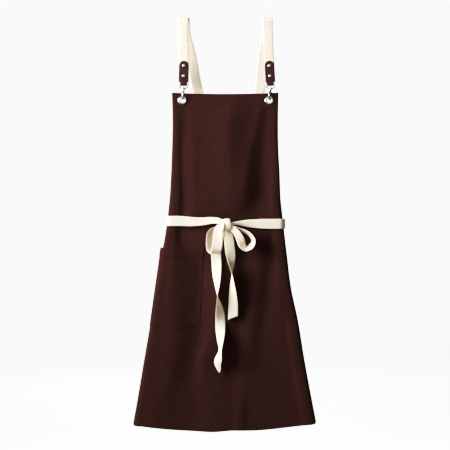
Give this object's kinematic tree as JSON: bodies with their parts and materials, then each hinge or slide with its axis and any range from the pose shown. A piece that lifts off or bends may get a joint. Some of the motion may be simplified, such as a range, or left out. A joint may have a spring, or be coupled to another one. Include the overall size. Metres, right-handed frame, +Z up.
{
  "type": "bib apron",
  "caption": "Brown canvas bib apron hanging from crossed shoulder tapes with swivel hooks, waist tie in a bow and one patch pocket.",
  "frame": {"origin": "the hanging point, midway between the tops of the two shoulder tapes, where they lie over what holds the apron", "axes": "+Z up, -Y out of the apron's front, +X to the right as it is seen from the front"},
  "size_m": [0.4599, 0.0941, 1.0399],
  "materials": {
    "canvas": "matte dark brown cotton canvas",
    "cotton_tape": "matte cream cotton webbing",
    "tab_leather": "semi-matte reddish brown leather",
    "nickel": "polished nickel plate",
    "spring_steel": "plain spring steel"
  },
  "bodies": {
    "apron": {"apron_panel": "canvas", "patch_pocket": "canvas", "left_shoulder_tape": "cotton_tape", "right_shoulder_tape": "cotton_tape", "left_waist_tie": "cotton_tape", "right_waist_tie": "cotton_tape", "bow_knot": "cotton_tape", "bow_left_loop": "cotton_tape", "bow_right_loop": "cotton_tape", "bow_left_tail": "cotton_tape", "bow_right_tail": "cotton_tape", "left_leather_tab": "tab_leather", "left_upper_rivet": "nickel", "left_upper_rivet_cap": "nickel", "left_lower_rivet": "nickel", "left_lower_rivet_cap": "nickel", "left_bib_eyelet": "nickel", "left_bib_washer": "nickel", "left_waist_eyelet": "nickel", "left_waist_washer": "nickel", "right_leather_tab": "tab_leather", "right_upper_rivet": "nickel", "right_upper_rivet_cap": "nickel", "right_lower_rivet": "nickel", "right_lower_rivet_cap": "nickel", "right_bib_eyelet": "nickel", "right_bib_washer": "nickel", "right_waist_eyelet": "nickel", "right_waist_washer": "nickel"},
    "left_eye": {"left_swivel_eye": "nickel"},
    "left_hook_body": {"left_hook": "nickel", "left_gate_pin": "spring_steel", "left_gate_spring": "spring_steel"},
    "left_gate": {"left_hook_gate": "nickel"},
    "right_eye": {"right_swivel_eye": "nickel"},
    "right_hook_body": {"right_hook": "nickel", "right_gate_pin": "spring_steel", "right_gate_spring": "spring_steel"},
    "right_gate": {"right_hook_gate": "nickel"}
  },
  "joints": [
    {"name": "left_eye_rock", "type": "hinge", "parent": "apron", "child": "left_eye", "pos_m": [-0.10398, -0.01, -0.16857], "axis": [0.9982, 0, -0.0593], "range_deg": [-1, 3]},
    {"name": "left_hook_swivel", "type": "hinge", "parent": "left_eye", "child": "left_hook_body", "pos_m": [-0.10398, -0.01, -0.16857], "axis": [0.0593, 0, 0.9982], "range_deg": [-15, 15]},
    {"name": "left_gate_open", "type": "hinge", "parent": "left_hook_body", "child": "left_gate", "pos_m": [-0.10532, -0.0014, -0.19103], "axis": [-0.9982, 0, 0.0593], "range_deg": [0, 35], "stiffness_Nm_per_rad": 0.01, "springref_deg": -28.65},
    {"name": "right_eye_rock", "type": "hinge", "parent": "apron", "child": "right_eye", "pos_m": [0.11322, -0.01, -0.16857], "axis": [0.9982, 0, -0.0593], "range_deg": [0, 3]},
    {"name": "right_hook_swivel", "type": "hinge", "parent": "right_eye", "child": "right_hook_body", "pos_m": [0.11322, -0.01, -0.16857], "axis": [0.0593, 0, 0.9982], "range_deg": [-4, 31]},
    {"name": "right_gate_open", "type": "hinge", "parent": "right_hook_body", "child": "right_gate", "pos_m": [0.11425, -0.00173, -0.19117], "axis": [-0.9596, 0.2756, 0.057], "range_deg": [0, 35], "stiffness_Nm_per_rad": 0.01, "springref_deg": -28.65}
  ]
}
